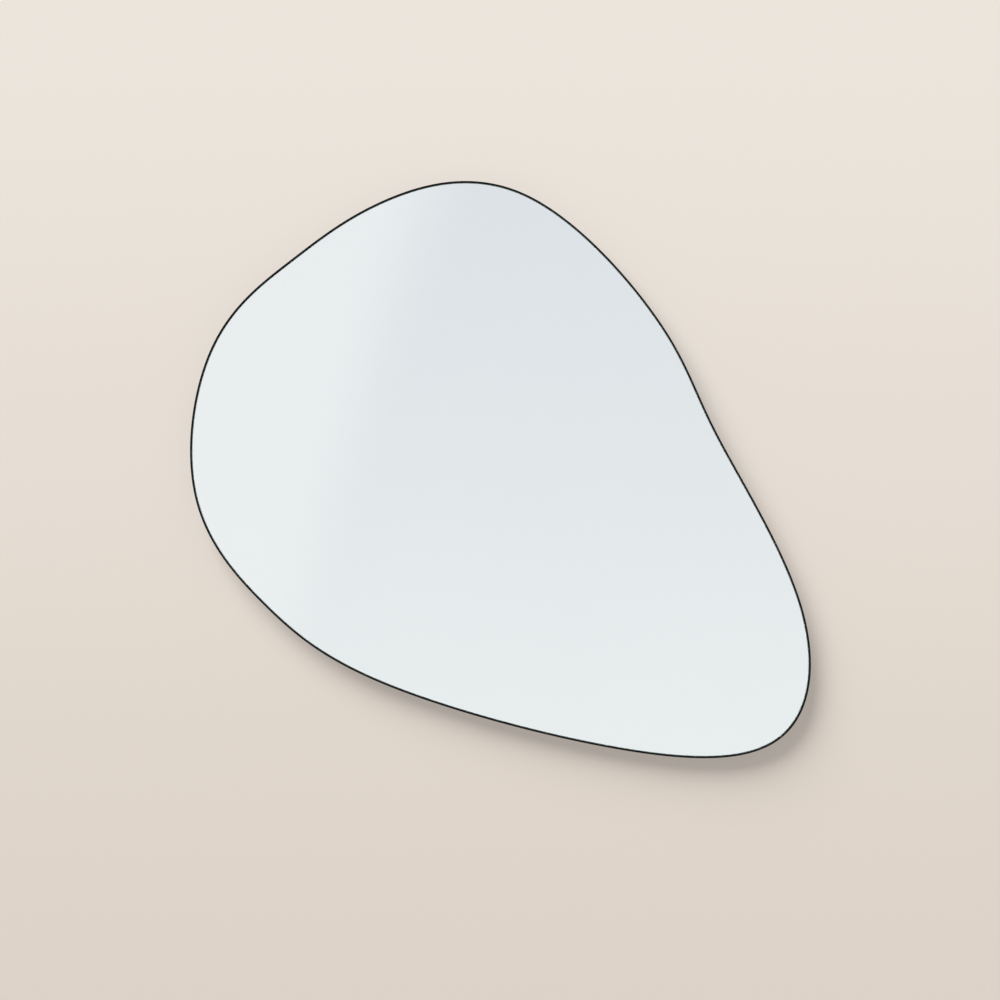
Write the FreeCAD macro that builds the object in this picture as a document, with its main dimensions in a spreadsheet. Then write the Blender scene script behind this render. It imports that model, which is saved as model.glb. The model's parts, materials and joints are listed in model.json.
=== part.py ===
import FreeCAD
import Part
import Sketcher
import math
import os

# A pebble-shaped wall mirror: a silvered glass pane taped to a board, inside a slim black steel strip
# that is bent to the outline. Steel ears welded inside the strip are screwed to the back of the board.
# The board carries an aluminium rail that hooks over a second, identical rail on the wall, and three
# rubber bumpers that keep the foot of the mirror off the wall. The mirror lifts straight up off the
# wall rail.
#
# Frame: millimetres, X to the right seen from the front, Z up, Y into the wall. The wall is the plane
# Y = 0 and the glass looks along -Y. The origin is the middle of the wall rail's row of holes.

# The outline is the middle of the steel strip, seen from the front: a closed cubic spline whose poles
# are listed anticlockwise, as (x, z) from the hanging point. The layers follow it in arcs.
OUTLINE = {
    "heel": (419, -318),
    "flank": (261, -70),
    "shoulder": (240, 28),
    "crown": (34, 262),
    "nape": (-161, 210),
    "temple": (-262, 130),
    "cheek": (-380, 41),
    "side": (-411, -191),
    "hip": (-298, -319),
    "belly": (-181, -418),
    "keel": (213, -522),
    "tip": (401, -507),
}

SIZES = {
    # The layers, from the wall to the front
    "wall_gap": 9.0,
    "board_thick": 9.0,
    "tape_thick": 1.0,
    "film_thick": 0.2,
    "coat_thick": 0.1,
    "glass_thick": 4.0,
    "glass_recess": 1.0,
    # The steel strip and what it holds
    "rim_thick": 2.0,
    "rim_depth": 22.0,
    "glass_play": 0.3,
    "glass_arris": 0.5,
    "board_play": 0.5,
    "board_chamfer": 1.0,
    # The mounting tape
    "tape_width": 25.0,
    "tape_pitch": 120.0,
    "tape_middle": 5.0,
    "tape_margin": 14.0,
    # The welded ears
    "ear_width": 18.0,
    "ear_reach": 26.0,
    "ear_thick": 2.0,
    "ear_start": 60.0,
    # Both rails
    "rail_length": 360.0,
    "rail_thick": 2.0,
    "flange_below": 12.0,
    "flange_above": 13.0,
    "lip_play": 0.5,
    "hook_play": 0.3,
    "wall_hole": 5.5,
    "wall_hole_inset": 22.5,
    "rail_screw_inset": 20.0,
    # Screws into the board
    "screw_shank": 3.5,
    "screw_head": 7.0,
    "screw_head_high": 2.4,
    "screw_long": 9.0,
    "pilot_play": 0.05,
    "hole_play": 0.35,
    # Bumpers
    "bumper_width": 18.0,
    "bumper_left_x": -165.0,
    "bumper_left_z": -335.0,
    "bumper_middle_x": 95.0,
    "bumper_middle_z": -425.0,
    "bumper_right_x": 335.0,
    "bumper_right_z": -440.0,
}

EAR_COUNT = 6
TAPE_COUNT = 6
WALL_HOLE_COUNT = 4
RAIL_SCREW_COUNT = 4
LIP_ANGLE = 45.0
OUTLINE_SPANS = 24
BUMPERS = ("left", "middle", "right")

BACKWARD = FreeCAD.Vector(0, 1, 0)
FORWARD = FreeCAD.Vector(0, -1, 0)
UPRIGHT = FreeCAD.Rotation(FreeCAD.Vector(1, 0, 0), 90)

doc = FreeCAD.newDocument("irregular_mirror")
sheet = doc.addObject("Spreadsheet::Sheet", "sizes")
parts = []


def fill_sheet():
    """One row for each size: its name, its value and the alias that expressions use."""
    rows = dict(SIZES)
    for name, (x, z) in OUTLINE.items():
        rows[name + "_x"] = x
        rows[name + "_z"] = z
    for number, (alias, value) in enumerate(rows.items(), start=1):
        sheet.set(f"A{number}", alias)
        sheet.set(f"B{number}", str(float(value)))
        sheet.setAlias(f"B{number}", alias)
    doc.recompute()


def size(alias):
    """A size's value, for the few things that are worked out here."""
    return float(sheet.get(alias))


def total(*aliases):
    """The sum of some sizes."""
    return sum(size(alias) for alias in aliases)


def keep(thing, label):
    """Names a finished sub-part and puts it on the list that is written out."""
    thing.Label = label
    parts.append(thing)
    return thing


# ---------------------------------------------------------------- sketches

def pin(sketch, shape, end, x, y):
    """Ties one point of a sketch to the sketch's origin by two expressions."""
    for kind, expression in (("DistanceX", x), ("DistanceY", y)):
        rule = sketch.addConstraint(Sketcher.Constraint(kind, -1, 1, shape, end, 1.0))
        sketch.setExpression(f"Constraints[{rule}]", expression)


def polygon(sketch, corners):
    """A closed loop of lines, each corner pinned by a pair of expressions."""
    count = len(corners)
    turn = 2 * math.pi / count
    rough = [FreeCAD.Vector(math.cos(i * turn), math.sin(i * turn), 0) for i in range(count)]
    lines = [
        sketch.addGeometry(Part.LineSegment(rough[i], rough[(i + 1) % count]), False)
        for i in range(count)
    ]
    for i in range(count):
        after = lines[(i + 1) % count]
        sketch.addConstraint(Sketcher.Constraint("Coincident", lines[i], 2, after, 1))
    for line, (x, y) in zip(lines, corners):
        pin(sketch, line, 1, x, y)


def circle(sketch, x, y, diameter):
    """A circle whose centre and diameter are expressions."""
    ring = sketch.addGeometry(Part.Circle(FreeCAD.Vector(0, 0, 0), FreeCAD.Vector(0, 0, 1), 1), False)
    pin(sketch, ring, 3, x, y)
    rule = sketch.addConstraint(Sketcher.Constraint("Diameter", ring, 2.0))
    sketch.setExpression(f"Constraints[{rule}]", diameter)


def sketch_on(body, role, name):
    """An empty sketch on one of the body's own origin planes."""
    plane = next(o for o in body.Origin.OriginFeatures if o.Role == role)
    sketch = body.newObject("Sketcher::SketchObject", name)
    sketch.AttachmentSupport = (plane, [""])
    sketch.MapMode = "FlatFace"
    return sketch


def new_body(name):
    return doc.addObject("PartDesign::Body", name)


# ---------------------------------------------------------------- outline

def outline_sketch():
    """The closed spline that every layer follows, its poles bound to the sheet."""
    sketch = doc.addObject("Sketcher::SketchObject", "outline")
    sketch.Placement = FreeCAD.Placement(FreeCAD.Vector(0, 0, 0), UPRIGHT)
    curve = Part.BSplineCurve()
    poles = [FreeCAD.Vector(size(n + "_x"), size(n + "_z"), 0) for n in OUTLINE]
    curve.buildFromPoles(poles, True, 3)
    spline = sketch.addGeometry(curve, False)
    sketch.exposeInternalGeometry(spline)
    rings = [i for i, g in enumerate(sketch.Geometry) if isinstance(g, Part.Circle)]
    for ring, name in zip(rings, OUTLINE):
        pin(sketch, ring, 3, f"sizes.{name}_x", f"sizes.{name}_z")
    return sketch


def outward(along):
    """The direction out of the mirror, square to a direction along its outline."""
    return along.cross(FORWARD)


def arc_from(start, along, end):
    """The arc that leaves start in the direction along and reaches end: three points, three directions."""
    chord = end - start
    straight = FreeCAD.Vector(chord).normalize()
    turn = math.atan2(along.dot(outward(straight)), along.dot(straight))
    middle = (start + end) * 0.5 + outward(straight) * (chord.Length / 2 * math.tan(turn / 2))
    leaving = straight * (2 * along.dot(straight)) - along
    return (start, middle, end), (along, straight, leaving)


def outline_arcs():
    """The outline as smoothly joined arcs, two for each span between evenly spaced points on the spline."""
    spline = outline.Shape.Wires[0].Edges[0]
    first, last = spline.ParameterRange
    places = [first + (last - first) * i / OUTLINE_SPANS for i in range(OUTLINE_SPANS)]
    points = [spline.valueAt(where) for where in places]
    ways = [spline.tangentAt(where).normalize() for where in places]
    arcs = []
    for i in range(OUTLINE_SPANS):
        here, there = points[i], points[(i + 1) % OUTLINE_SPANS]
        leave, arrive = ways[i], ways[(i + 1) % OUTLINE_SPANS]
        across = there - here
        bend = 2 * (1 - leave.dot(arrive))
        pull = across.dot(leave + arrive)
        reach = across.dot(across) / (pull + math.sqrt(pull * pull + bend * across.dot(across)))
        joint = (here + there + (leave - arrive) * reach) * 0.5
        arcs.append(arc_from(here, leave, joint))
        arcs.append(arc_from(joint, arcs[-1][1][2], there))
    return arcs


def offset(name, amount):
    """The outline moved outward by an amount in mm: every arc keeps its centre and changes its radius."""
    edges = []
    for points, ways in outline_arcs():
        moved = [point + outward(way) * amount for point, way in zip(points, ways)]
        edges.append(Part.Arc(*moved).toShape())
    ring = doc.addObject("Part::Feature", name)
    ring.Shape = Part.Wire(edges)
    return ring


def slab(name, profile, back, thick):
    """A flat layer: profile extruded forward by thick, its back face at the distance back from the wall."""
    layer = doc.addObject("Part::Extrusion", name)
    layer.Base = profile
    layer.DirMode = "Custom"
    layer.Dir = FORWARD
    layer.Solid = True
    layer.setExpression("LengthFwd", thick)
    layer.setExpression("Placement.Base.y", f"-({back})")
    return layer


def bevelled(name, layer, amount, faces):
    """A layer with the edges that run round its flat faces, given by their Y, chamfered."""
    doc.recompute()
    done = doc.addObject("Part::Chamfer", name)
    done.Base = layer
    width = size(amount)
    done.Edges = [
        (i, width, width)
        for i, edge in enumerate(layer.Shape.Edges, start=1)
        if any(all(abs(v.Point.y - y) < 1e-3 for v in edge.Vertexes) for y in faces)
    ]
    return done


# ---------------------------------------------------------------- layers

BOARD_BACK = "sizes.wall_gap"
BOARD_FRONT = BOARD_BACK + " + sizes.board_thick"
TAPE_FRONT = BOARD_FRONT + " + sizes.tape_thick"
FILM_FRONT = TAPE_FRONT + " + sizes.film_thick"
COAT_FRONT = FILM_FRONT + " + sizes.coat_thick"
GLASS_FRONT = COAT_FRONT + " + sizes.glass_thick"
RIM_FRONT = GLASS_FRONT + " + sizes.glass_recess"
RIM_REAR = RIM_FRONT + " - sizes.rim_depth"


def glass_and_coats():
    """The 4 mm pane with its arrissed edges, and the silvering and safety film on its back."""
    edge = offset("glass_edge", -size("rim_thick") / 2 - size("glass_play"))
    keep(slab("film", edge, TAPE_FRONT, "sizes.film_thick"), "safety_film")
    keep(slab("coat", edge, FILM_FRONT, "sizes.coat_thick"), "silver_coat")
    pane = slab("pane", edge, COAT_FRONT, "sizes.glass_thick")
    back = -total("wall_gap", "board_thick", "tape_thick", "film_thick", "coat_thick")
    faces = (back, back - size("glass_thick"))
    keep(bevelled("glass", pane, "glass_arris", faces), "mirror_glass")


def tape_strips():
    """Upright strips of foam tape between the board and the film, kept back from the edge."""
    area = offset("tape_edge", -size("rim_thick") / 2 - total("board_play", "tape_margin"))
    field = slab("tape_field", area, BOARD_FRONT, "sizes.tape_thick")
    doc.recompute()
    bounds = field.Shape.BoundBox
    for number in range(TAPE_COUNT):
        step = number - (TAPE_COUNT - 1) / 2
        strip = doc.addObject("Part::Box", f"tape_blank_{number + 1}")
        strip.setExpression("Length", "sizes.tape_width")
        strip.setExpression("Width", "sizes.tape_thick")
        strip.Height = bounds.ZLength + 2
        strip.Placement.Base.z = bounds.ZMin - 1
        strip.setExpression("Placement.Base.y", f"-({TAPE_FRONT})")
        left = f"sizes.tape_middle + {step} * sizes.tape_pitch - sizes.tape_width / 2"
        strip.setExpression("Placement.Base.x", left)
        cut = doc.addObject("Part::MultiCommon", f"tape_{number + 1}")
        cut.Shapes = [strip, field]
        keep(cut, f"tape_strip_{number + 1}")


def rim_band():
    """The flat steel strip, bent to the outline and welded into a ring."""
    outside = offset("rim_outside", size("rim_thick") / 2)
    outer = slab("rim_outer", outside, RIM_REAR, "sizes.rim_depth")
    inner = slab("rim_inner", rim_inside, RIM_REAR + " - 1", "sizes.rim_depth + 2")
    ring = doc.addObject("Part::Cut", "rim_ring")
    ring.Base = outer
    ring.Tool = inner
    keep(ring, "rim_band")


def stations(wire, count, start):
    """Points evenly spaced along a closed wire, each with the direction to its inside."""
    edges = wire.OrderedEdges
    total = sum(edge.Length for edge in edges)
    middle = wire.BoundBox.Center
    found = []
    for number in range(count):
        along = (start + number * total / count) % total
        for edge in edges:
            if along <= edge.Length:
                break
            along -= edge.Length
        where = edge.getParameterByLength(along)
        inward = edge.tangentAt(where).cross(BACKWARD).normalize()
        point = edge.valueAt(where)
        if inward.dot(middle - point) < 0:
            inward = -inward
        found.append((point, inward))
    return found


def ear_blank():
    """A flat ear with a round nose and one hole. X points from the strip to the middle of the mirror."""
    body = new_body("ear_blank")
    nose = "sizes.ear_reach - sizes.ear_width / 2"
    half = "sizes.ear_width / 2"
    tongue = sketch_on(body, "XZ_Plane", "ear_tongue")
    polygon(tongue, [(f"-{half}", f"-{half}"), (nose, f"-{half}"), (nose, half), (f"-{half}", half)])
    disc = sketch_on(body, "XZ_Plane", "ear_nose")
    circle(disc, nose, "0", "sizes.ear_width")
    for profile in (tongue, disc):
        pad = body.newObject("PartDesign::Pad", profile.Name + "_pad")
        pad.Profile = profile
        pad.setExpression("Length", "sizes.ear_thick")
    hole = sketch_on(body, "XZ_Plane", "ear_hole")
    circle(hole, nose, "0", "sizes.screw_shank + 2 * sizes.hole_play")
    drilled = body.newObject("PartDesign::Pocket", "ear_drilled")
    drilled.Profile = hole
    drilled.Type = "ThroughAll"
    drilled.Midplane = True
    return body


def ears():
    """The ears, spread evenly round the strip, their roots trimmed to the strip's inner face."""
    room = slab("ear_room", rim_inside, "0", BOARD_BACK)
    blank = ear_blank()
    doc.recompute()
    on_board = FreeCAD.Vector(0, size("ear_thick") - size("wall_gap"), 0)
    holes = []
    places = stations(rim_inside.Shape.Wires[0], EAR_COUNT, size("ear_start"))
    for number, (point, inward) in enumerate(places, start=1):
        placed = doc.addObject("App::Link", f"ear_placed_{number}")
        placed.LinkedObject = blank
        turn = FreeCAD.Rotation(FORWARD, math.degrees(math.atan2(inward.z, inward.x)))
        placed.Placement = FreeCAD.Placement(point + on_board, turn)
        ear = doc.addObject("Part::MultiCommon", f"ear_{number}")
        ear.Shapes = [placed, room]
        keep(ear, f"rim_ear_{number}")
        holes.append(point + inward * (size("ear_reach") - size("ear_width") / 2))
    return holes


# ---------------------------------------------------------------- screws

def screw_blank():
    """A pan-head screw along Y: its head behind the origin, its shank in front of it."""
    body = new_body("screw_blank")
    sketch = sketch_on(body, "XY_Plane", "screw_profile")
    shank, head = "sizes.screw_shank / 2", "sizes.screw_head / 2"
    polygon(
        sketch,
        [
            ("0", "sizes.screw_head_high"),
            (head, "sizes.screw_head_high"),
            (head, "0"),
            (shank, "0"),
            (shank, "-sizes.screw_long"),
            ("0", "-sizes.screw_long"),
        ],
    )
    turned = body.newObject("PartDesign::Revolution", "screw_turned")
    turned.Profile = sketch
    turned.ReferenceAxis = (sketch, ["V_Axis"])
    doc.recompute()
    return body


def at_each(blank, places, label):
    """One sub-part made of a copy of the blank at each place."""
    group = doc.addObject("Part::Feature", label + "_group")
    copies = []
    for place in places:
        copy = blank.Shape.copy()
        copy.translate(place)
        copies.append(copy)
    group.Shape = Part.makeCompound(copies)
    return keep(group, label)


# ---------------------------------------------------------------- rails

def rail_section(sketch):
    """A flange with a sloping lip on top, in the Y-Z plane, its back on the wall."""
    reach = f"(sizes.wall_gap - sizes.rail_thick * sin({LIP_ANGLE}) - sizes.lip_play)"
    slant = f"sizes.rail_thick * sin({LIP_ANGLE})"
    polygon(
        sketch,
        [
            ("0", "-sizes.flange_below"),
            ("0", "sizes.flange_above"),
            (f"-{reach}", f"sizes.flange_above + {reach}"),
            (f"-{reach} - {slant}", f"sizes.flange_above + {reach} - {slant}"),
            ("-sizes.rail_thick", f"sizes.flange_above - sizes.rail_thick * tan({LIP_ANGLE} / 2)"),
            ("-sizes.rail_thick", "-sizes.flange_below"),
        ],
    )


def rail(name, hole, inset, count):
    """An aluminium rail with a row of holes along its flange, the outer ones that far from its ends."""
    body = new_body(name)
    section = sketch_on(body, "YZ_Plane", name + "_section")
    rail_section(section)
    bar = body.newObject("PartDesign::Pad", name + "_bar")
    bar.Profile = section
    bar.Midplane = True
    bar.setExpression("Length", "sizes.rail_length")
    row = sketch_on(body, "XZ_Plane", name + "_holes")
    for number in range(count):
        step = number / (count - 1) - 0.5
        circle(row, f"{step} * (sizes.rail_length - 2 * {inset})", "0", hole)
    drilled = body.newObject("PartDesign::Pocket", name + "_drilled")
    drilled.Profile = row
    drilled.Type = "ThroughAll"
    drilled.Midplane = True
    return body


def rails():
    """The rail on the wall, and the same rail turned over on the back of the board."""
    keep(rail("wall_rail", "sizes.wall_hole", "sizes.wall_hole_inset", WALL_HOLE_COUNT), "wall_rail")
    hole = "sizes.screw_shank + 2 * sizes.hole_play"
    hung = rail("hanging_rail", hole, "sizes.rail_screw_inset", RAIL_SCREW_COUNT)
    hung.Placement.Rotation = FreeCAD.Rotation(FreeCAD.Vector(1, 0, 0), 180)
    hung.setExpression("Placement.Base.y", "-sizes.wall_gap")
    hung.setExpression("Placement.Base.z", "sizes.wall_gap + 2 * sizes.flange_above + sizes.hook_play")
    keep(hung, "hanging_rail")
    doc.recompute()
    height = hung.Placement.Base.z
    span = size("rail_length") - 2 * size("rail_screw_inset")
    steps = [number / (RAIL_SCREW_COUNT - 1) - 0.5 for number in range(RAIL_SCREW_COUNT)]
    return [FreeCAD.Vector(step * span, 0, height) for step in steps]


# ---------------------------------------------------------------- bumpers

def bumper(side):
    """A rubber button, glued to the board and as tall as the gap to the wall."""
    body = new_body("bumper_" + side)
    sketch = sketch_on(body, "XY_Plane", f"bumper_{side}_profile")
    edge = "sizes.bumper_width / 2"
    polygon(sketch, [("0", "0"), (edge, "0"), (edge, "sizes.wall_gap"), ("0", "sizes.wall_gap")])
    turned = body.newObject("PartDesign::Revolution", f"bumper_{side}_turned")
    turned.Profile = sketch
    turned.ReferenceAxis = (sketch, ["V_Axis"])
    body.setExpression("Placement.Base.x", f"sizes.bumper_{side}_x")
    body.setExpression("Placement.Base.y", "-sizes.wall_gap")
    body.setExpression("Placement.Base.z", f"sizes.bumper_{side}_z")
    keep(body, "bumper_" + side)


# ---------------------------------------------------------------- board

def board(pilot_holes):
    """The backing board with a pilot hole for each screw, given as (x, z, depth)."""
    edge = offset("board_edge", -size("rim_thick") / 2 - size("board_play"))
    blank = slab("board_blank", edge, BOARD_BACK, "sizes.board_thick")
    back = -size("wall_gap")
    eased = bevelled("board_eased", blank, "board_chamfer", (back,))
    drills = doc.addObject("Part::Feature", "pilot_holes")
    radius = size("screw_shank") / 2 + size("pilot_play")
    drills.Shape = Part.makeCompound(
        [
            Part.makeCylinder(radius, depth + 1, FreeCAD.Vector(x, back + 1, z), FORWARD)
            for x, z, depth in pilot_holes
        ]
    )
    drilled = doc.addObject("Part::Cut", "board")
    drilled.Base = eased
    drilled.Tool = drills
    keep(drilled, "backing_board")


# ---------------------------------------------------------------- build

def check_and_write():
    """Stops on any failed object or bad shape, then writes one STEP file for each sub-part."""
    doc.recompute()
    for thing in doc.Objects:
        if "Invalid" in thing.State or "Error" in thing.State:
            raise RuntimeError(f"{thing.Label} failed: {thing.State}")
    os.makedirs("parts", exist_ok=True)
    for part in parts:
        shape = part.Shape
        if shape.isNull() or not shape.isValid() or not shape.Solids:
            raise RuntimeError(f"{part.Label} has no valid shape")
        shape.exportStep(f"parts/{part.Label}.step")
        box = shape.BoundBox
        print(f"{part.Label}: {len(shape.Solids)} solid, {shape.Volume / 1000:.1f} cm3, "
              f"y {box.YMin:.2f} to {box.YMax:.2f}")


fill_sheet()
outline = outline_sketch()
doc.recompute()
rim_inside = offset("rim_inside", -size("rim_thick") / 2)
rim_band()
glass_and_coats()
tape_strips()
ear_holes = ears()
rail_holes = rails()
for side in BUMPERS:
    bumper(side)

screw = screw_blank()
on_ear = size("ear_thick") - size("wall_gap")
on_rail = size("rail_thick") - size("wall_gap")
at_each(screw, [FreeCAD.Vector(p.x, on_ear, p.z) for p in ear_holes], "ear_screws")
at_each(screw, [FreeCAD.Vector(p.x, on_rail, p.z) for p in rail_holes], "rail_screws")

through_ear = size("screw_long") - size("ear_thick")
through_rail = size("screw_long") - size("rail_thick")
board([(p.x, p.z, through_ear) for p in ear_holes] + [(p.x, p.z, through_rail) for p in rail_holes])
check_and_write()
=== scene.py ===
# %% [markdown]
# # A pebble-shaped wall mirror
# A mirror is an odd thing to model, because nearly all that shows on it is something else. The object itself
# is a thin black line round a pane of glass, and its light comes from the room in front of it. So this lesson
# spends its effort on the steel strip, on the layers of the glass, on the back that nobody sees, and on the
# room that the glass looks at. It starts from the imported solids, which give every size and place.

import json
import math
import random

import bmesh
import bpy
from mathutils import Matrix, Vector


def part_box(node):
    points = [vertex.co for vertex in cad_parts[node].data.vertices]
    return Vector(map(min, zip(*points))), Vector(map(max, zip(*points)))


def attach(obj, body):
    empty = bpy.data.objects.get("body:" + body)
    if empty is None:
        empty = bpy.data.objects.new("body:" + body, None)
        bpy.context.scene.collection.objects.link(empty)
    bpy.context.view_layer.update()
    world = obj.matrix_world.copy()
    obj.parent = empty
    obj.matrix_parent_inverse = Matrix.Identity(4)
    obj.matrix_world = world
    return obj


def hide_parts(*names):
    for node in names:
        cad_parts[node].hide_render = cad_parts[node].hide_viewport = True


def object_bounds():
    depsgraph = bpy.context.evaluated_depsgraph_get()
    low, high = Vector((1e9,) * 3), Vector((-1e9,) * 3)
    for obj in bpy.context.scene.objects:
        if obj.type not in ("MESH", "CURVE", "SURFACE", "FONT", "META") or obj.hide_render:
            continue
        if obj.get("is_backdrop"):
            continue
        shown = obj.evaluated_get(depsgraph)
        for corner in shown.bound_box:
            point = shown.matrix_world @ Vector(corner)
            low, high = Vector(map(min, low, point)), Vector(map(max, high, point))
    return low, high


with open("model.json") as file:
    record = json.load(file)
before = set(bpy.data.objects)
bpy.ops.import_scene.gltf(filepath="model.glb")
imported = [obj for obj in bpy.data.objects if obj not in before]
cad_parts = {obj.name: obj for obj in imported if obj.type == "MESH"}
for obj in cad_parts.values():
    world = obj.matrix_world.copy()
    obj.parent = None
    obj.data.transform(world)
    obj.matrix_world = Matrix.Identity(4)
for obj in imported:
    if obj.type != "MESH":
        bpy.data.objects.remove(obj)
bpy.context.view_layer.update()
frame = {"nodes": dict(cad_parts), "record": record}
MM = 0.001

# %% [markdown]
# ## Writing shaders as sums
# A material is a small network of nodes. It reads better as arithmetic, so one class wraps an output socket
# and turns each sum into a Math node. Colours go through a Mix node, which keeps all three channels.


# %% Shader sums
class Wire:
    """One output socket of a shader, ready to be used in sums."""

    def __init__(self, recipe, socket):
        self.recipe = recipe
        self.socket = socket

    def maths(self, operation, *values):
        inputs = dict(enumerate(values))
        return self.recipe.node("ShaderNodeMath", {"operation": operation}, inputs)

    def __add__(self, other):
        return self.maths("ADD", self, other)

    def __radd__(self, other):
        return self.maths("ADD", other, self)

    def __sub__(self, other):
        return self.maths("SUBTRACT", self, other)

    def __rsub__(self, other):
        return self.maths("SUBTRACT", other, self)

    def __mul__(self, other):
        return self.maths("MULTIPLY", self, other)

    def __rmul__(self, other):
        return self.maths("MULTIPLY", other, self)

    def size(self):
        """The value without its sign."""
        return self.maths("ABSOLUTE", self)

    def at_least(self, other):
        """The larger of the two values."""
        return self.maths("MAXIMUM", self, other)

    def rise(self, start, end):
        """0 below start, 1 above end, and a soft step between them."""
        inputs = {"Value": self, "From Min": start, "From Max": end}
        settings = {"interpolation_type": "SMOOTHSTEP"}
        return self.recipe.node("ShaderNodeMapRange", settings, inputs)


print("shader sums ready")

# %% [markdown]
# ## Every other node by one method
# What isn't a sum, such as a noise or the main shader, comes from one method. It takes the node's kind, then
# its settings, then what its sockets get, which may be plain values or wires. The short methods below it
# only say in words what is wanted: a place, a noise, a direction, a bump.


# %% Recipes
class Recipe:
    """The node tree of one finish."""

    def __init__(self, tree):
        self.tree = tree
        tree.nodes.clear()

    def node(self, kind, settings=None, inputs=None, output=0):
        """A node of any kind: its settings first, then what its sockets get."""
        made = self.tree.nodes.new(kind)
        for name, value in (settings or {}).items():
            setattr(made, name, value)
        for name, value in (inputs or {}).items():
            if isinstance(value, Wire):
                self.tree.links.new(value.socket, made.inputs[name])
            else:
                made.inputs[name].default_value = value
        return Wire(self, made.outputs[output]) if made.outputs else None

    def blend(self, share, first, second):
        """The first colour where share is 0, the second where it is 1."""
        first = (*first, 1) if isinstance(first, tuple) else first
        second = (*second, 1) if isinstance(second, tuple) else second
        return self.node("ShaderNodeMix", {"data_type": "RGBA"}, {0: share, 6: first, 7: second}, 2)

    def place(self, stretch=(1, 1, 1)):
        """The point on the surface, in metres, stretched along each axis."""
        spot = self.node("ShaderNodeTexCoord", output="Object")
        return self.node("ShaderNodeMapping", None, {"Vector": spot, "Scale": stretch})

    def noise(self, scale, detail, stretch=(1, 1, 1)):
        """Cloudy noise from 0 to 1, with that many lumps to the metre."""
        inputs = {"Vector": self.place(stretch), "Scale": scale, "Detail": detail}
        return self.node("ShaderNodeTexNoise", None, inputs)

    def facing(self, axis):
        """How far the surface faces along one axis, from -1 to 1."""
        normal = self.node("ShaderNodeNewGeometry", output="Normal")
        return self.node("ShaderNodeSeparateXYZ", None, {0: normal}, axis)

    def bump(self, height, depth, strength):
        """Small relief: height from 0 to 1, depth in metres."""
        inputs = {"Height": height, "Distance": depth, "Strength": strength}
        return self.node("ShaderNodeBump", None, inputs)

    def surface(self, **sockets):
        """The main shader, with its sockets written as words_like_this."""
        named = {name.replace("_", " "): value for name, value in sockets.items()}
        shader = self.node("ShaderNodeBsdfPrincipled", None, named)
        self.node("ShaderNodeOutputMaterial", None, {"Surface": shader})


def finish(name):
    """A new material and its empty recipe."""
    material = bpy.data.materials.new(name)
    material.use_nodes = True
    return material, Recipe(material.node_tree)


print("recipes ready")

# %% [markdown]
# ## Black powder coat
# The strip is steel under matt black powder coat. Baked powder never lies quite flat: it has an orange-peel
# skin with lumps about a millimetre across, which breaks up the highlight along a rounded edge. A little
# dust lies on whatever faces up. Both come from noise, so no picture is needed.


# %% Powder coat
def powder_coat():
    material, mix = finish("black powder coat")
    peel = mix.noise(900.0, 1.5)
    cloud = mix.noise(14.0, 3.0)
    dust = mix.facing("Z").rise(0.35, 1.0) * mix.noise(260.0, 4.0).rise(0.45, 0.75)
    black = mix.blend(cloud, (0.003, 0.003, 0.0032), (0.0065, 0.0065, 0.0068))
    mix.surface(
        Base_Color=mix.blend(dust * 0.08, black, (0.22, 0.21, 0.20)),
        Roughness=0.40 + peel * 0.14 + dust * 0.25,
        Normal=mix.bump(peel, 0.00008, 0.8),
        Specular_IOR_Level=0.15,
    )
    return material


black_coat = powder_coat()
print("made", black_coat.name)

# %% [markdown]
# ## Glass and silver
# A mirror is two finishes, one behind the other. Light passes a pane of clear glass, turns round at a film of
# silver and comes out again. The pane could be left out and the silver shown alone, but then the ground edge
# and the depth behind the front face would be missing. The narrow bevel round the pane is ground and not
# polished. It scatters light instead of passing it, so it gets a third finish, faintly green from the iron in
# the glass and darkened with painted shade, the shade of the recess where it lies behind the strip.


# %% Glass and silver
def float_glass():
    material, mix = finish("float glass")
    haze = mix.noise(5.0, 3.0)
    mix.surface(
        Base_Color=mix.blend(haze, (0.982, 0.993, 0.990), (0.988, 0.997, 0.994)),
        Roughness=0.0,
        Transmission_Weight=1.0,
        IOR=1.52,
    )
    return material


def ground_edge():
    material, mix = finish("ground glass edge")
    grain = mix.noise(2500.0, 2.0)
    wear = mix.noise(60.0, 3.0)
    mix.surface(
        # Both greens are darkened as painted shade of the recess behind the strip; the noise only varies the
        # tone.
        Base_Color=mix.blend(wear, (0.26, 0.35, 0.33), (0.32, 0.42, 0.39)),
        Roughness=0.42 + grain * 0.2,
        Normal=mix.bump(grain, 0.00001, 0.4),
    )
    return material


def silvering():
    material, mix = finish("silvering")
    cloud = mix.noise(6.0, 2.0)
    mix.surface(
        Base_Color=mix.blend(cloud, (0.925, 0.945, 0.945), (0.935, 0.95, 0.95)),
        Metallic=1.0,
        Roughness=0.0,
    )
    return material


clear_glass, frosted_edge, silver = float_glass(), ground_edge(), silvering()
print("made", clear_glass.name, frosted_edge.name, silver.name)

# %% [markdown]
# ## Fibreboard
# The board behind the glass is pressed wood fibre. It has no grain, only short fibres that lie every way,
# a cloudy change of brown, and a few darker flecks. Its sawn edge drinks more light than its pressed face.


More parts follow.
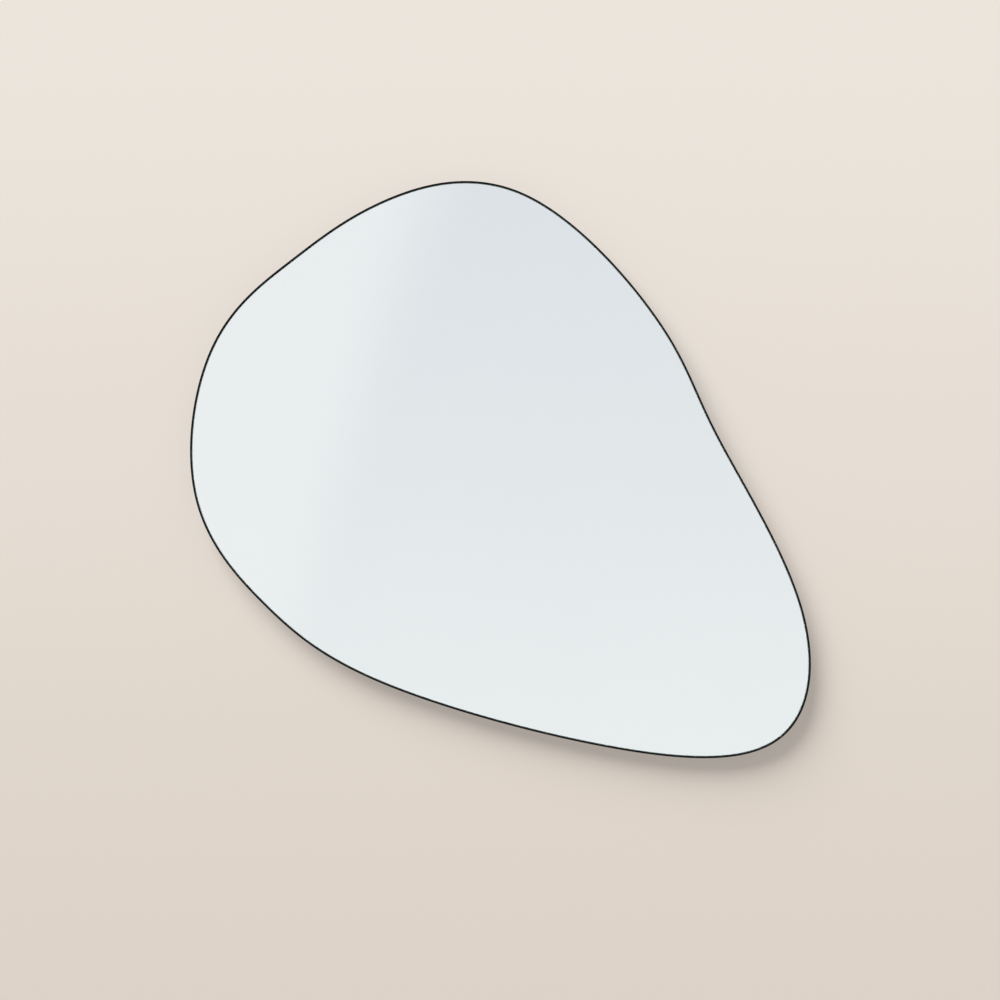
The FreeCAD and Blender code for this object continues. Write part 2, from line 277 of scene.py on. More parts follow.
# %% Fibreboard
def fibreboard():
    material, mix = finish("fibreboard")
    along = mix.noise(240.0, 5.0, (1, 1, 3))
    across = mix.noise(240.0, 5.0, (3, 1, 1))
    fibres = (along + across) * 0.22 + mix.noise(620.0, 6.0) * 0.56
    cloud = mix.noise(9.0, 3.0)
    flecks = mix.noise(520.0, 1.0).rise(0.66, 0.74)
    sawn = 1 - mix.facing("Y").size().rise(0.5, 0.9)
    brown = mix.blend(fibres.rise(0.3, 0.7), (0.36, 0.235, 0.135), (0.52, 0.37, 0.235))
    brown = mix.blend(cloud * 0.35, brown, (0.44, 0.30, 0.185))
    brown = mix.blend(flecks * 0.55, brown, (0.17, 0.10, 0.055))
    mix.surface(
        Base_Color=mix.blend(sawn * 0.4, brown, (0.22, 0.14, 0.08)),
        Roughness=0.72 + fibres * 0.2,
        Normal=mix.bump(fibres + flecks * -0.4, 0.00008, 0.5),
        Specular_IOR_Level=0.3,
    )
    return material


board_brown = fibreboard()
print("made", board_brown.name)

# %% [markdown]
# ## Metals of the back
# The rails are extruded, and the die leaves fine lines along their whole length, so the noise is stretched
# along X until it turns into streaks. The screws are zinc plated: the plate is even, but it takes a faint
# yellow and blue bloom.


# %% Aluminium and zinc
def extruded_aluminium():
    material, mix = finish("extruded aluminium")
    lines = mix.noise(900.0, 3.0, (0.004, 1, 1))
    bands = mix.noise(90.0, 2.0, (0.01, 1, 1))
    rubs = mix.noise(60.0, 5.0, (0.2, 1, 1)).rise(0.45, 0.8)
    grey = mix.blend(lines.rise(0.3, 0.7), (0.40, 0.405, 0.41), (0.56, 0.56, 0.56))
    mix.surface(
        Base_Color=mix.blend(rubs * 0.4, grey, (0.47, 0.465, 0.455)),
        Metallic=1.0,
        Roughness=0.34 + bands * 0.1 + rubs * 0.08,
        Normal=mix.bump(lines, 0.00003, 0.5),
    )
    return material


def zinc_plate():
    material, mix = finish("zinc plate")
    bloom = mix.noise(330.0, 2.0)
    scuffs = mix.noise(1600.0, 3.0)
    mix.surface(
        Base_Color=mix.blend(bloom.rise(0.35, 0.65), (0.46, 0.49, 0.53), (0.56, 0.54, 0.47)),
        Metallic=1.0,
        Roughness=0.28 + scuffs * 0.25,
        Normal=mix.bump(scuffs, 0.00001, 0.4),
    )
    return material


aluminium, zinc = extruded_aluminium(), zinc_plate()
print("made", aluminium.name, "and", zinc.name)

# %% [markdown]
# ## Moulded rubber
# The bumpers are black rubber. It is matt, its skin is finely pitted from the mould, and a pale bloom comes
# to its surface in patches as it ages. One fine noise and one coarse noise are enough for that.


# %% Rubber
def rubber():
    material, mix = finish("moulded rubber")
    skin = mix.noise(1400.0, 3.0)
    bloom = mix.noise(120.0, 4.0).rise(0.5, 0.8)
    mix.surface(
        Base_Color=mix.blend(bloom * 0.35, (0.014, 0.014, 0.014), (0.055, 0.053, 0.05)),
        Roughness=0.68 + skin * 0.2,
        Normal=mix.bump(skin, 0.00004, 0.5),
        Specular_IOR_Level=0.35,
    )
    return material


black_rubber = rubber()
print("made", black_rubber.name)

# %% [markdown]
# ## Foam tape and safety film
# The tape between board and glass is white foam, whose cells show at a cut edge: a Voronoi texture is made of
# cells already. The safety film behind the silver has a woven backing, and two crossed waves draw the
# weave. Both lie deep inside the mirror, but a piece that is hidden today may be seen in a section tomorrow.


# %% Tape and film
def foam_tape():
    material, mix = finish("foam tape")
    cells = mix.node("ShaderNodeTexVoronoi", None, {"Vector": mix.place(), "Scale": 1600.0})
    mix.surface(
        Base_Color=mix.blend(cells.rise(0.1, 0.7), (0.62, 0.61, 0.58), (0.84, 0.83, 0.80)),
        Roughness=0.85 + cells * 0.1,
        Normal=mix.bump(cells, 0.0001, 0.7),
    )
    return material


def safety_film():
    material, mix = finish("safety film")
    threads = []
    for direction in ("X", "Z"):
        settings = {"bands_direction": direction}
        inputs = {"Vector": mix.place(), "Scale": 160.0, "Distortion": 0.3}
        threads.append(mix.node("ShaderNodeTexWave", settings, inputs, "Fac"))
    weave = threads[0] * threads[1]
    mix.surface(
        Base_Color=mix.blend(weave, (0.30, 0.32, 0.34), (0.50, 0.52, 0.54)),
        Roughness=0.6 + weave * 0.15,
        Normal=mix.bump(weave, 0.0001, 0.5),
    )
    return material


white_foam, grey_film = foam_tape(), safety_film()
print("made", white_foam.name, "and", grey_film.name)

# %% [markdown]
# ## Finishes for the solids that stay
# Plain solids such as the board and the rails already have their real shape. They keep their mesh, and only
# their material slots change. The look is chosen by the slot that the record names for each node.

# %% Dress the solids
FINISHES = {
    "black_rim": black_coat,
    "float_glass": clear_glass,
    "silvering": silver,
    "safety_film": grey_film,
    "foam_tape": white_foam,
    "fibreboard": board_brown,
    "zinc_screw": zinc,
    "rail_aluminium": aluminium,
    "bumper_rubber": black_rubber,
}
slots = {part["node"]: part["material_slot"] for part in frame["record"]["subparts"]}
for name, solid in frame["nodes"].items():
    for place in solid.material_slots:
        place.material = FINISHES[slots[name]]
print("dressed", len(slots), "nodes")

# %% [markdown]
# ## The outline
# Everything at the front follows one closed curve, the middle line of the steel strip. Twelve poles draw it
# as a smooth cubic spline. Each place on it is worked out from four poles in turn, together with the
# direction square to it, so that a strip or a pane can stand a little inside or outside the line.

# %% Outline
POLES = [
    Vector(pole) * MM
    for pole in (
        (419, -318),
        (261, -70),
        (240, 28),
        (34, 262),
        (-161, 210),
        (-262, 130),
        (-380, 41),
        (-411, -191),
        (-298, -319),
        (-181, -418),
        (213, -522),
        (401, -507),
    )
]


def outline(turn):
    """The point and the outward direction after that many spans, both in the X-Z plane."""
    span = math.floor(turn)
    t = turn - span
    a, b, c, d = (POLES[(span + i) % len(POLES)] for i in range(4))
    shares = ((1 - t) ** 3, 3 * t**3 - 6 * t**2 + 4, 1 + 3 * t + 3 * t**2 - 3 * t**3, t**3)
    point = shares[0] * a + shares[1] * b + shares[2] * c + shares[3] * d
    along = (d - c) * t**2 + (c - b) * (1 + 2 * t - 2 * t**2) + (b - a) * (1 - t) ** 2
    along.normalize()
    return point / 6, Vector((along.y, -along.x))


def beside(turn, out, y):
    """A point of the model, that far outside the line and at that depth."""
    point, outward = outline(turn)
    point = point + outward * out
    return Vector((point.x, y, point.y))


def length_of(start, end, steps):
    """How long the line is between two places."""
    stops = [beside(start + (end - start) * i / steps, 0, 0) for i in range(steps + 1)]
    return sum((b - a).length for a, b in zip(stops, stops[1:]))


around = length_of(0, len(POLES), 2400)
print(f"the line is {around:.3f} m long")

# %% [markdown]
# ## From a mesh to a piece
# Strip, pane, screws, bumpers and welds are drawn in different ways, but all end in the same step. It makes
# the faces look outward, smooths what is round, leaves real corners sharp, gives the piece its finish and
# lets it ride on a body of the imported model.


# %% Pieces
def piece(name, mesh, material, body="mirror", corner=35):
    """A finished piece that moves with a body."""
    shape = bmesh.new()
    shape.from_mesh(mesh)
    bmesh.ops.recalc_face_normals(shape, faces=shape.faces)
    shape.to_mesh(mesh)
    shape.free()
    for face in mesh.polygons:
        face.use_smooth = True
    mesh.set_sharp_from_angle(angle=math.radians(corner))
    mesh.materials.clear()
    mesh.materials.append(material)
    made = bpy.data.objects.new(name, mesh)
    bpy.context.scene.collection.objects.link(made)
    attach(made, body)
    return made


print("ready to make pieces")

# %% [markdown]
# ## Sweeping a section
# The strip, the pane and the film of silver all follow the same line, so each is a small section carried
# round it. Blender could bend an array along a curve, but a section that is worked out at each place
# can change on its way, which the strip's weld needs. An open section gets a flat face on either side, and
# that makes it a plate.


# %% Sweeping
def swept(name, section, turns, closed=True):
    """A mesh that carries a section of (out, depth) points round the outline."""
    rings = [[beside(turn, out, y) for out, y in section(turn)] for turn in turns]
    wide = len(rings[0])
    faces = []
    for i in range(len(rings)):
        j = (i + 1) % len(rings)
        last = wide if closed else wide - 1
        for k in range(last):
            m = (k + 1) % wide
            faces.append((i * wide + k, i * wide + m, j * wide + m, j * wide + k))
    if not closed:
        faces.append([i * wide for i in range(len(rings))])
        faces.append([i * wide + wide - 1 for i in range(len(rings))])
    mesh = bpy.data.meshes.new(name)
    mesh.from_pydata([point for ring in rings for point in ring], [], faces)
    return mesh


print("ready to sweep")

# %% [markdown]
# ## The steel strip
# The strip is 2 mm thick and 22 mm deep, rolled to the outline and welded shut. Its corners are only broken,
# with a radius of a fifth of a millimetre, but that radius is what catches the light in a thin thread.
# The section is a rectangle with four small arcs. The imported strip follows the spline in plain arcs, which
# lie up to a tenth of a millimetre inside it, so the outer face is set back by that much to stay in the same
# box. The weld is ground flush outside, so it shows only inside, behind the board, as a low rounded bead
# across the strip.

# %% Steel strip
strip_low, strip_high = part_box("rim_band")
board_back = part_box("backing_board")[1].y
HALF = 1.0 * MM
OUTER = HALF - 0.12 * MM
BREAK = 0.2 * MM
CORNER_STEPS = 3
SEAM = 8.55
SEAM_WIDE = 0.010
SEAM_HIGH = 0.7 * MM
SEAM_POINTS = (0.12, 0.3, 0.5, 0.7, 0.88)
STRIP_PLACES = 600
WELD_PLACES = 6


def strip_section(turn):
    """The strip's section, with the weld's bead on its inner side near the seam."""
    near = abs(turn - SEAM) / SEAM_WIDE
    bead = SEAM_HIGH * max(0.0, 1 - near * near) ** 0.5
    points = []
    corners = (
        (OUTER - BREAK, strip_high.y - BREAK, 0),
        (-HALF + BREAK, strip_high.y - BREAK, 90),
        (-HALF + BREAK, strip_low.y + BREAK, 180),
        (OUTER - BREAK, strip_low.y + BREAK, 270),
    )
    for out, y, start in corners:
        for step in range(CORNER_STEPS + 1):
            angle = math.radians(start + 90 * step / CORNER_STEPS)
            points.append((out + BREAK * math.cos(angle), y + BREAK * math.sin(angle)))
    rear = points[: 2 * (CORNER_STEPS + 1)]
    front = points[2 * (CORNER_STEPS + 1) :]
    across = board_back - strip_high.y
    inner = [(-HALF - bead, strip_high.y + across * place) for place in SEAM_POINTS]
    return rear + inner + front


places = [len(POLES) * i / STRIP_PLACES for i in range(STRIP_PLACES)]
places += [SEAM + SEAM_WIDE * i / WELD_PLACES for i in range(-WELD_PLACES, WELD_PLACES + 1)]
places = sorted(set(round(turn, 6) for turn in places))
strip = piece("steel_strip", swept("steel_strip", strip_section, places), black_coat)
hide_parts("rim_band")
print("strip has", len(strip.data.polygons), "faces")

# %% [markdown]
# ## The pane and its silver
# The pane stands 0.3 mm inside the strip and 1 mm behind its front edge. A bevel of half a millimetre is
# ground round both faces, and what isn't flat gets the ground finish. The silver is a film on the back of
# the pane. Two faces at exactly the same depth would flicker, so the film's front starts two hundredths of a
# millimetre inside the glass.

# %% Pane and silver
glass_low, glass_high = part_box("mirror_glass")
GLASS_PLAY = 0.3 * MM
EDGE = -HALF - GLASS_PLAY
ARRIS = 0.5 * MM
EASED, EASED_LONG = 0.06 * MM, 0.08 * MM
SILVER_INSET = 0.1 * MM
SILVER_FRONT, SILVER_BACK = 0.02 * MM, 0.08 * MM
PANE_PLACES = 480
FLAT = 0.95


def pane_section(turn):
    """The pane's edge from its front face to its back, the same all the way round."""
    return [
        (EDGE - ARRIS, glass_low.y),
        (EDGE - EASED, glass_low.y + ARRIS - EASED),
        (EDGE, glass_low.y + ARRIS + EASED_LONG),
        (EDGE, glass_high.y - ARRIS),
        (EDGE - ARRIS, glass_high.y),
    ]


def silver_section(turn):
    """The film's edge, a little inside the bevel of the pane's back."""
    inside = EDGE - ARRIS - SILVER_INSET
    return [(inside, glass_high.y - SILVER_FRONT), (inside, glass_high.y + SILVER_BACK)]


places = [len(POLES) * i / PANE_PLACES for i in range(PANE_PLACES)]
pane = piece("glass_pane", swept("glass_pane", pane_section, places, closed=False), clear_glass, corner=20)
pane.data.materials.append(frosted_edge)
for face in pane.data.polygons:
    face.material_index = 1 if abs(face.normal.y) < FLAT else 0
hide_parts("mirror_glass")
film = piece("silver_film", swept("silver_film", silver_section, places, closed=False), silver)
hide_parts("silver_coat")
print("pane is", round((glass_high.y - glass_low.y) / MM, 2), "mm thick")

# %% [markdown]
# ## Turning a profile
# Screws and bumpers are round about an axis that points into the wall. A lathe makes them from a profile, and
# so does this helper: each point of the profile becomes a ring of points, and a point on the axis stays a
# single one.


# %% Turning
def turned(name, profile, sides):
    """A mesh turned about Y from a profile of (radius, depth) points, which starts and ends on the axis."""
    shape = bmesh.new()
    rings = []
    for radius, y in profile:
        if radius == 0:
            rings.append([shape.verts.new((0, y, 0))])
            continue
        angles = [2 * math.pi * i / sides for i in range(sides)]
        rings.append([shape.verts.new((radius * math.cos(a), y, radius * math.sin(a))) for a in angles])
    for one, two in zip(rings, rings[1:]):
        for i in range(sides):
            j = (i + 1) % sides
            corners = [one[i % len(one)], one[j % len(one)], two[j % len(two)], two[i % len(two)]]
            shape.faces.new(dict.fromkeys(corners))
    mesh = bpy.data.meshes.new(name)
    shape.to_mesh(mesh)
    shape.free()
    return mesh


print("ready to turn")

# %% [markdown]
# ## The cross recess
# The head of a screw has a cross for the driver, deep in the middle and narrower at its floor. Two tapered
# bars, laid across each other, have just that shape, and a boolean takes them out of the head.

# %% Cross recess
FLOOR_LONG, FLOOR_WIDE, FLOOR_AT = 1.6 * MM, 0.75 * MM, 0.9 * MM
TOP_LONG, TOP_WIDE, TOP_AT = 4.4 * MM, 1.0 * MM, 3.0 * MM


def cross_cutter():
    """Two tapered bars, crossed, that point into the head."""
    shape = bmesh.new()
    for angle in (0, 90):
        bmesh.ops.create_cube(shape, size=1.0)
        bar = shape.verts[-8:]
        for vertex in bar:
            deep = vertex.co.y < 0
            vertex.co.x *= FLOOR_LONG if deep else TOP_LONG
            vertex.co.z *= FLOOR_WIDE if deep else TOP_WIDE
            vertex.co.y = FLOOR_AT if deep else TOP_AT
        bmesh.ops.rotate(shape, verts=bar, matrix=Matrix.Rotation(math.radians(angle), 3, "Y"))
    mesh = bpy.data.meshes.new("cross")
    shape.to_mesh(mesh)
    shape.free()
    return mesh


def carved(body_mesh, cutter_mesh):
    """The first mesh with the second cut out of it."""
    block = bpy.data.objects.new("block", body_mesh)
    tool = bpy.data.objects.new("tool", cutter_mesh)
    for thing in (block, tool):
        bpy.context.scene.collection.objects.link(thing)
    cut = block.modifiers.new("cut", "BOOLEAN")
    cut.operation = "DIFFERENCE"
    cut.solver = "EXACT"
    cut.use_self = True
    cut.object = tool
    done = bpy.data.meshes.new_from_object(block.evaluated_get(bpy.context.evaluated_depsgraph_get()))
    for thing in (block, tool):
        bpy.data.objects.remove(thing)
    return done


print("ready to cut a cross", round(TOP_LONG / MM, 1), "mm long at its top")

# %% [markdown]
# ## Where the screws go
# A node of screws is one mesh with several screws in it. Each screw's points lie close together and far from
# the next screw, so sorting the points by distance finds the screws, and the middle of each box is its axis.
# No place is written down twice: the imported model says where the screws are.

# %% Places and copies
ONE_SCREW = 12 * MM


def spots_of(node):
    """The middle of each separate solid of a node, seen from the front."""
    groups = []
    for vertex in frame["nodes"][node].data.vertices:
        flat = Vector((vertex.co.x, vertex.co.z))
        group = next((g for g in groups if (g[0] - flat).length < ONE_SCREW), None)
        if group:
            group.append(flat)
        else:
            groups.append([flat])
    middles = []
    for group in groups:
        wide = [p.x for p in group]
        tall = [p.y for p in group]
        middles.append(Vector(((min(wide) + max(wide)) / 2, 0, (min(tall) + max(tall)) / 2)))
    return middles


def copies(name, pattern, spots, turns):
    """One mesh with the pattern at each spot, turned about Y by each angle."""
    shape = bmesh.new()
    for spot, angle in zip(spots, turns):
        start = len(shape.verts)
        shape.from_mesh(pattern)
        shape.verts.ensure_lookup_table()
        move = Matrix.Translation(spot) @ Matrix.Rotation(angle, 4, "Y")
        bmesh.ops.transform(shape, matrix=move, verts=shape.verts[start:])
    mesh = bpy.data.meshes.new(name)
    shape.to_mesh(mesh)
    shape.free()
    return mesh


print("screws on the ears", len(spots_of("ear_screws")), "and on the rail", len(spots_of("rail_screws")))

# %% [markdown]
# ## Screws
# Ten pan-head screws hold the ears and the rail. Their heads are low domes, and one screw serves for all.
# It is turned from a profile and the cross is cut into it. Nobody lines screws up, so each is turned by its
# own angle, from a shuffle that is the same on each run.

# %% Screws
HEAD_HIGH = 2.4
DOME = ((0, HEAD_HIGH), (1.0, 2.37), (1.8, 2.2), (2.5, 1.85), (3.05, 1.3))
HEAD_RIM = ((3.4, 0.65), (3.5, 0.25), (3.44, 0.0))
SHANK = ((1.7, 0.0), (1.7, -6.6), (0, -9.0))
SAME_EACH_RUN = 4
screw_profile = [(r * MM, y * MM) for r, y in DOME + HEAD_RIM + SHANK]
screw = carved(turned("screw", screw_profile, sides=40), cross_cutter())
shuffle = random.Random(SAME_EACH_RUN)
for node in ("ear_screws", "rail_screws"):
    low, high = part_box(node)
    spots = [spot + Vector((0, high.y - HEAD_HIGH * MM, 0)) for spot in spots_of(node)]
    turns = [shuffle.uniform(0, math.pi) for _ in spots]
    made = piece(node + "_heads", copies(node + "_heads", screw, spots, turns), zinc, corner=28)
    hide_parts(node)
    print(node, len(spots), "screws,", len(made.data.polygons), "faces")

# %% [markdown]
# ## Bumpers
# A bumper is a moulded rubber button that keeps the foot of the mirror off the wall. Its sides draw in a
# little so that it leaves the mould, a fine line shows where the halves of the mould met, and its crown has
# a rounded edge and a shallow dimple. All of this is one profile, turned about its axis.

# %% Bumpers
BUTTON_SIDE = [(0, 0), (8.8, 0), (9.0, 0.2), (8.96, 1.4), (9.0, 1.5), (8.94, 1.6), (8.55, 8.0)]
BUTTON_DIMPLE = [(3.4, 9.0), (2.9, 8.9), (1.8, 8.55), (0, 8.45)]
ROUND_AT, ROUND_FROM = 7.55, 8.0


def button_profile():
    """The side with its mould line, the rounded edge and the dimple, as (radius, depth) in mm."""
    angles = [math.radians(15 * step) for step in range(1, 7)]
    edge = [(ROUND_AT + math.cos(angle), ROUND_FROM + math.sin(angle)) for angle in angles]
    return BUTTON_SIDE + edge + BUTTON_DIMPLE


button = turned("bumper", [(r * MM, y * MM) for r, y in button_profile()], sides=64)
for side in ("left", "middle", "right"):
    low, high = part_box("bumper_" + side)
    centre = Vector(((low.x + high.x) / 2, low.y, (low.z + high.z) / 2))
    made = piece(f"rubber_{side}", copies(f"rubber_{side}", button, [centre], [0]), black_rubber, corner=50)
    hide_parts("bumper_" + side)
print("bumpers stand", round(-centre.y / MM, 2), "mm tall")

# %% [markdown]
# ## Welds of the ears
# Each ear is welded to the strip along its root. A hand weld is a row of small overlapping puddles, so the
# bead is a round bar whose thickness swells and sinks every couple of millimetres. It was coated with the
# rest of the frame, so it is black too. It follows the inner face of the strip and lies in the corner
# between strip and ear.


# %% Weld bead
WELD_HALF_LONG = 8 * MM
PUDDLES = 9
# In millimetres: the bar's radius, what a puddle adds to it, and how far its axis stands off the strip.
WELD_RADIUS, WELD_SWELL, WELD_OFF = 1.0, 0.35, 0.25
WELD_STEPS, WELD_SIDES = 54, 10
SEARCH_PLACES = 1200
NEARBY = 0.02


def nearest_turn(spot):
    """The place on the outline that is nearest to a spot on the back."""
    flat = Vector((spot.x, spot.z))
    turns = [len(POLES) * i / SEARCH_PLACES for i in range(SEARCH_PLACES)]
    return min(turns, key=lambda turn: (outline(turn)[0] - flat).length)


def bead_thick(share):
    """The bar's radius along the weld: it swells with each puddle and tapers at both ends."""
    swell = abs(math.sin(math.pi * PUDDLES * share))
    return (WELD_RADIUS + WELD_SWELL * swell) * MM * min(1.0, 6 * min(share, 1 - share) + 0.25)


def weld_bead(middle_turn, y):
    """A rippled bar along the strip's inner face, closed at both ends."""
    per_turn = length_of(middle_turn - NEARBY, middle_turn + NEARBY, 4) / (2 * NEARBY)
    reach = WELD_HALF_LONG / per_turn
    shape = bmesh.new()
    rings = []
    for i in range(WELD_STEPS + 1):
        share = i / WELD_STEPS
        turn = middle_turn + reach * (2 * share - 1)
        thick = bead_thick(share)
        ring = []
        for k in range(WELD_SIDES):
            angle = 2 * math.pi * k / WELD_SIDES
            out = -HALF - WELD_OFF * MM + thick * math.cos(angle)
            ring.append(shape.verts.new(beside(turn, out, y + thick * math.sin(angle))))
        rings.append(ring)
    for one, two in zip(rings, rings[1:]):
        for k in range(WELD_SIDES):
            m = (k + 1) % WELD_SIDES
            shape.faces.new((one[k], one[m], two[m], two[k]))
    shape.faces.new(rings[0])
    shape.faces.new(rings[-1])
    mesh = bpy.data.meshes.new("weld")
    shape.to_mesh(mesh)
    shape.free()
    return mesh


print("a puddle is", round(2 * WELD_HALF_LONG / PUDDLES / MM, 1), "mm long")

# %% [markdown]
# ## One weld for each ear
# The ears stand where their screws are, so the weld of an ear belongs to the place on the outline that is
# nearest to its screw. All the welds are one piece, since they are of one kind and never move apart.

# %% Ear welds
ear_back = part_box("rim_ear_1")[1].y
beads = [weld_bead(nearest_turn(spot), ear_back) for spot in spots_of("ear_screws")]
shape = bmesh.new()
for bead in beads:
    shape.from_mesh(bead)
joined = bpy.data.meshes.new("welds")
shape.to_mesh(joined)
shape.free()
welds = piece("ear_welds", joined, black_coat, corner=60)
print(len(beads), "welds,", len(welds.data.polygons), "faces")

# %% [markdown]
# ## A surface with one side
# The mirror needs a wall to hang on, but a wall would hide its back in the views from behind. So the paint
# shows only on the side that faces the room, and rays from behind pass through it. Part of its colour
# glows by itself and the rest answers to the lamps, which keeps the shadow from being darker than in life.


# %% One-sided paint
def backdrop(name, corners, material):
    """A flat surface that belongs to the stage and not to the mirror."""
    mesh = bpy.data.meshes.new(name)
    mesh.from_pydata(corners, [], [tuple(range(len(corners)))])
    mesh.materials.append(material)
    made = bpy.data.objects.new(name, mesh)
    bpy.context.scene.collection.objects.link(made)
    made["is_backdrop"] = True
    return made


def one_sided(name, colour_of, glow, level, fade=None):
    """A plain surface that shows only from its front, and thins out between two distances."""
    material, mix = finish(name)
    colour = colour_of(mix)
    painted = mix.node("ShaderNodeBsdfDiffuse", None, {"Color": colour})
    glowing = mix.node("ShaderNodeEmission", None, {"Color": colour, "Strength": level})
    front = mix.node("ShaderNodeMixShader", None, {0: glow, 1: painted, 2: glowing})
    clear = mix.node("ShaderNodeBsdfTransparent")
    unseen = mix.node("ShaderNodeNewGeometry", output="Backfacing")
    if fade:
        away = mix.node("ShaderNodeVectorMath", {"operation": "LENGTH"}, {0: mix.place()}, "Value")
        unseen = unseen.at_least(away.rise(*fade))
    both = mix.node("ShaderNodeMixShader", None, {0: unseen, 1: front, 2: clear})
    mix.node("ShaderNodeOutputMaterial", None, {"Surface": both})
    return material


print("ready to paint the stage")

# %% [markdown]
# ## The wall and the floor
# The wall is plain and warm, and a little deeper towards the floor. It stands just behind the rail, since
# two faces in one plane would flicker. The floor is pale. It thins out with distance and stays out of
# reflections, so that no horizon cuts across the glass.


# %% Wall and floor
def wall_colour(mix):
    """Warm beige, a little deeper lower down."""
    height = mix.node("ShaderNodeSeparateXYZ", None, {0: mix.place()}, "Z")
    low, high = (0.715, 0.642, 0.575), (0.835, 0.780, 0.720)
    return mix.blend(height.rise(-0.95, 0.55), low, high)


def floor_colour(mix):
    """Pale grey with very soft clouds."""
    return mix.blend(mix.noise(0.8, 2.0), (0.49, 0.485, 0.47), (0.54, 0.535, 0.52))


BEHIND = 0.6 * MM
FLOOR = -1.55
WALL_HALF, WALL_TOP = 4, 3
FLOOR_HALF, FLOOR_FRONT = 6, -7
wall_paint = one_sided("wall paint", wall_colour, glow=0.41, level=1.06)
floor_paint = one_sided("floor paint", floor_colour, glow=0.15, level=1.0, fade=(2.2, 6.0))
wall_foot = [(-WALL_HALF, BEHIND, FLOOR), (WALL_HALF, BEHIND, FLOOR)]
wall_head = [(WALL_HALF, BEHIND, WALL_TOP), (-WALL_HALF, BEHIND, WALL_TOP)]
wall = backdrop("wall", wall_foot + wall_head, wall_paint)
floor_near = [(-FLOOR_HALF, FLOOR_FRONT, FLOOR), (FLOOR_HALF, FLOOR_FRONT, FLOOR)]
floor_far = [(FLOOR_HALF, BEHIND, FLOOR), (-FLOOR_HALF, BEHIND, FLOOR)]
floor = backdrop("floor", floor_near + floor_far, floor_paint)
for surface in (wall, floor):
    surface.visible_diffuse = False
    surface.visible_glossy = False
wall.visible_shadow = False
floor.visible_transmission = False
print("wall faces", tuple(round(v) for v in wall.data.polygons[0].normal))

# %% [markdown]
# ## The room in the glass
# The glass shows what lies in front of it, so that has to be made too. It could be a room full of furniture,
# but a soft studio is calmer: pale and faintly blue, darker overhead and to the sides than low down. It is
# painted on the world as a sum of directions, since nothing in it has to be near enough to touch.

# %% Shades of the room
LOW_DOWN, HIGH_UP = (0.895, 0.917, 0.918), (0.772, 0.797, 0.833)
OVERHEAD, UNDERFOOT = (0.62, 0.67, 0.70), (0.80, 0.80, 0.78)
SIDES = (0.64, 0.68, 0.71)
BEIGE = (0.55, 0.52, 0.485)
world = bpy.data.worlds.new("room")
bpy.context.scene.world = world
world.use_nodes = True
room = Recipe(world.node_tree)
ray = room.node("ShaderNodeTexCoord", output="Generated")
to_x = room.node("ShaderNodeSeparateXYZ", None, {0: ray}, "X")
to_y = room.node("ShaderNodeSeparateXYZ", None, {0: ray}, "Y")
to_z = room.node("ShaderNodeSeparateXYZ", None, {0: ray}, "Z")
shade = room.blend(to_z.rise(-0.13, 0.15), LOW_DOWN, HIGH_UP)
shade = room.blend(to_z.rise(0.25, 0.9), shade, OVERHEAD)
shade = room.blend((0 - to_z).rise(0.3, 0.9), shade, UNDERFOOT)
shade = room.blend(to_x.size().rise(0.25, 0.95) * 0.8, shade, SIDES)
print("the room has its shades")

# %% [markdown]
# ## Lighter stretches
# One broad lighter stretch lies at the left, with an edge that leans. A fainter one lies so far to the right
# that only slanted views see it. What lies behind the mirror is a deeper beige, so that the strip's sides
# reflect something like the wall.

# %% Lighter stretches
BAND, FAR_BAND = (0.92, 0.928, 0.938), (0.92, 0.93, 0.93)
BAND_LEAN = 0.342
BAND_SHIFT = 0.0566
lean = to_x - to_z * BAND_LEAN + BAND_SHIFT
bright = (1 - lean.rise(-0.017, 0.017)) * lean.rise(-0.75, -0.3) * (1 - to_z.size().rise(0.15, 0.8))
shade = room.blend(bright * 0.75, shade, BAND)
far = lean.rise(0.3, 0.5) * (1 - lean.rise(0.75, 0.95))
shade = room.blend(far * 0.5, shade, FAR_BAND)
shade = room.blend(to_y.rise(0.0, 0.35), shade, BEIGE)
print("the edge leans by", round(math.degrees(math.atan(BAND_LEAN))), "degrees")

# %% [markdown]
# ## What each ray sees
# The picture of the room is only for rays that the glass or the metal sends out. Rays that gather soft light
# get an even, warm grey instead, and past the wall the camera sees a plain, pale one. So the reflection,
# the brightness and the background can each be set without changing the others.

# %% World
SOFT_LIGHT, SOFT_POWER = (1.0, 0.98, 0.94, 1), 0.25
BACKGROUND = (0.87, 0.865, 0.855, 1)
seen = room.node("ShaderNodeBackground", None, {"Color": shade, "Strength": 1.0})
soft = room.node("ShaderNodeBackground", None, {"Color": SOFT_LIGHT, "Strength": SOFT_POWER})
plain = room.node("ShaderNodeBackground", None, {"Color": BACKGROUND, "Strength": 1.0})
sharp = room.node("ShaderNodeLightPath", output="Is Glossy Ray")
through = room.node("ShaderNodeLightPath", output="Is Transmission Ray")
camera_ray = room.node("ShaderNodeLightPath", output="Is Camera Ray")
mixed = room.node("ShaderNodeMixShader", None, {0: sharp.at_least(through), 1: soft, 2: seen})
mixed = room.node("ShaderNodeMixShader", None, {0: camera_ray, 1: mixed, 2: plain})
room.node("ShaderNodeOutputWorld", None, {"Surface": mixed})
print("the room is painted with", len(world.node_tree.nodes), "nodes")

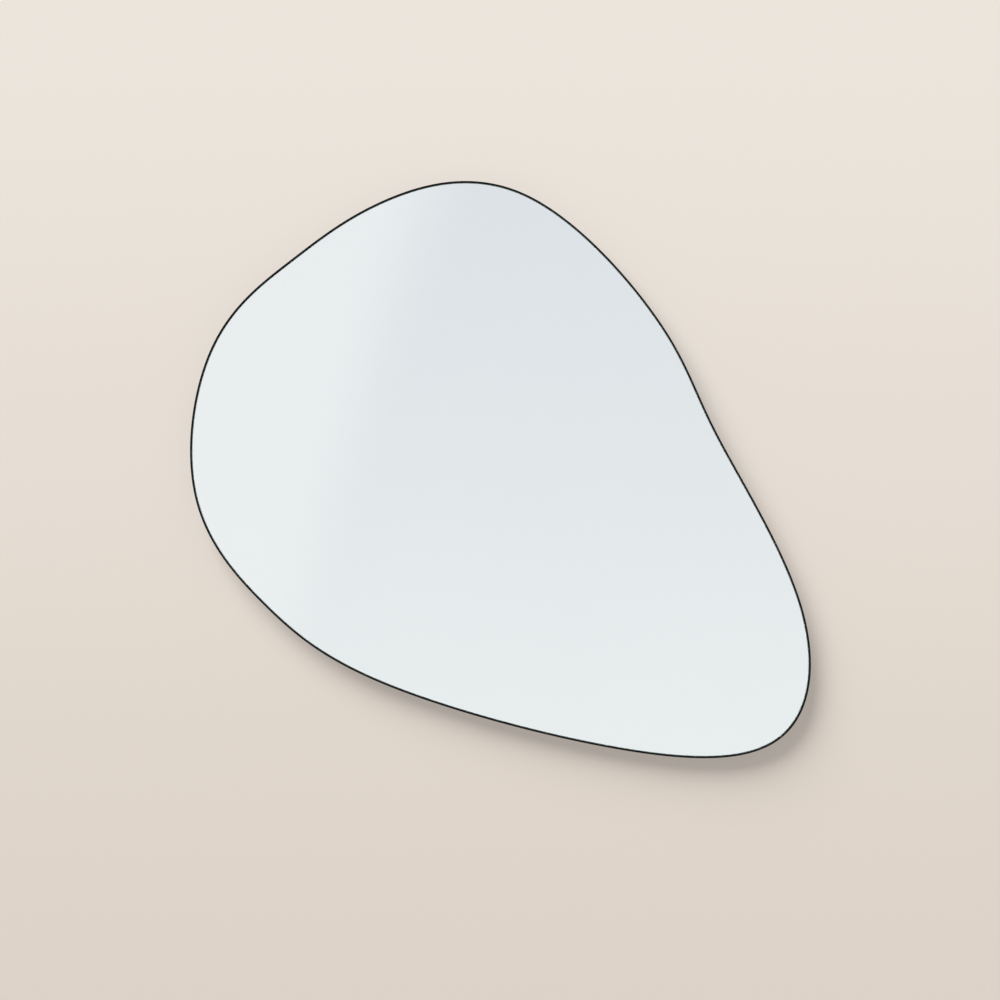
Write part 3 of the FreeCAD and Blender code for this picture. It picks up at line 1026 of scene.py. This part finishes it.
# %% [markdown]
# ## Lamps
# The shadow falls to the lower right and fades over five or six centimetres, though the mirror stands out
# from the wall by only two and a half. So the main lamp is a sun, which lights the whole wall evenly, but
# a very wide one, more like a bright cloud. It is kept out of reflections, where so wide a disc would
# whiten the glass from some sides. Two large, soft lamps behind the wall light the back of the mirror. A
# smaller lamp of the same power would burn out on the aluminium, which mirrors it.


# %% Lamps
def lamp(name, kind, place, aim, power, **settings):
    """A lamp that the camera doesn't see, turned towards a point."""
    data = bpy.data.lights.new(name, kind)
    data.energy = power
    for key, value in settings.items():
        setattr(data, key, value)
    made = bpy.data.objects.new(name, data)
    made.location = place
    made.rotation_euler = (Vector(aim) - Vector(place)).to_track_quat("-Z", "Y").to_euler()
    made.visible_camera = False
    bpy.context.scene.collection.objects.link(made)
    return made


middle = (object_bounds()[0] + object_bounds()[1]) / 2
SLANT = Vector((-0.95, -1.0, 1.42))
CLOUD_WIDE = 44
cloud = lamp("cloud", "SUN", middle + SLANT * 3, middle, power=4.48, angle=math.radians(CLOUD_WIDE))
cloud.visible_glossy = False
lamp("behind_left", "AREA", (-1.6, 2.4, 1.2), middle, power=62, shape="DISK", size=5.2)
lamp("behind_right", "AREA", (1.8, 2.2, 0.2), middle, power=32, shape="DISK", size=4.2)
print("the cloud is", CLOUD_WIDE, "degrees wide")

# %% [markdown]
# ## Camera
# The line round the glass is equally wide on all sides and none of the strip's depth shows, so the camera
# looks straight at the wall from far away. It stands 4 m in front of the strip, and the lens follows from
# the size of one pixel at that distance.

# %% Camera
PIXEL = 1.2858 * MM
PIXELS_WIDE = 1000
DISTANCE = 4.0
CAMERA_X, CAMERA_Z = 0.0047, -0.1788
lens = bpy.data.cameras.new("camera")
lens.sensor_width = 36.0
lens.lens = lens.sensor_width * DISTANCE / (PIXELS_WIDE * PIXEL)
camera = bpy.data.objects.new("camera", lens)
camera.location = (CAMERA_X, strip_low.y - DISTANCE, CAMERA_Z)
camera.rotation_euler = (math.radians(90), 0, 0)
bpy.context.scene.collection.objects.link(camera)
bpy.context.scene.camera = camera
bpy.context.scene.view_settings.view_transform = "Standard"
print("lens", round(lens.lens, 1), "mm")

# %% [markdown]
# ## Measure and finish
# The dressed mirror must be as large as the imported one, whatever was redrawn. Its box is measured here.

# %% Measure and finish
low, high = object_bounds()
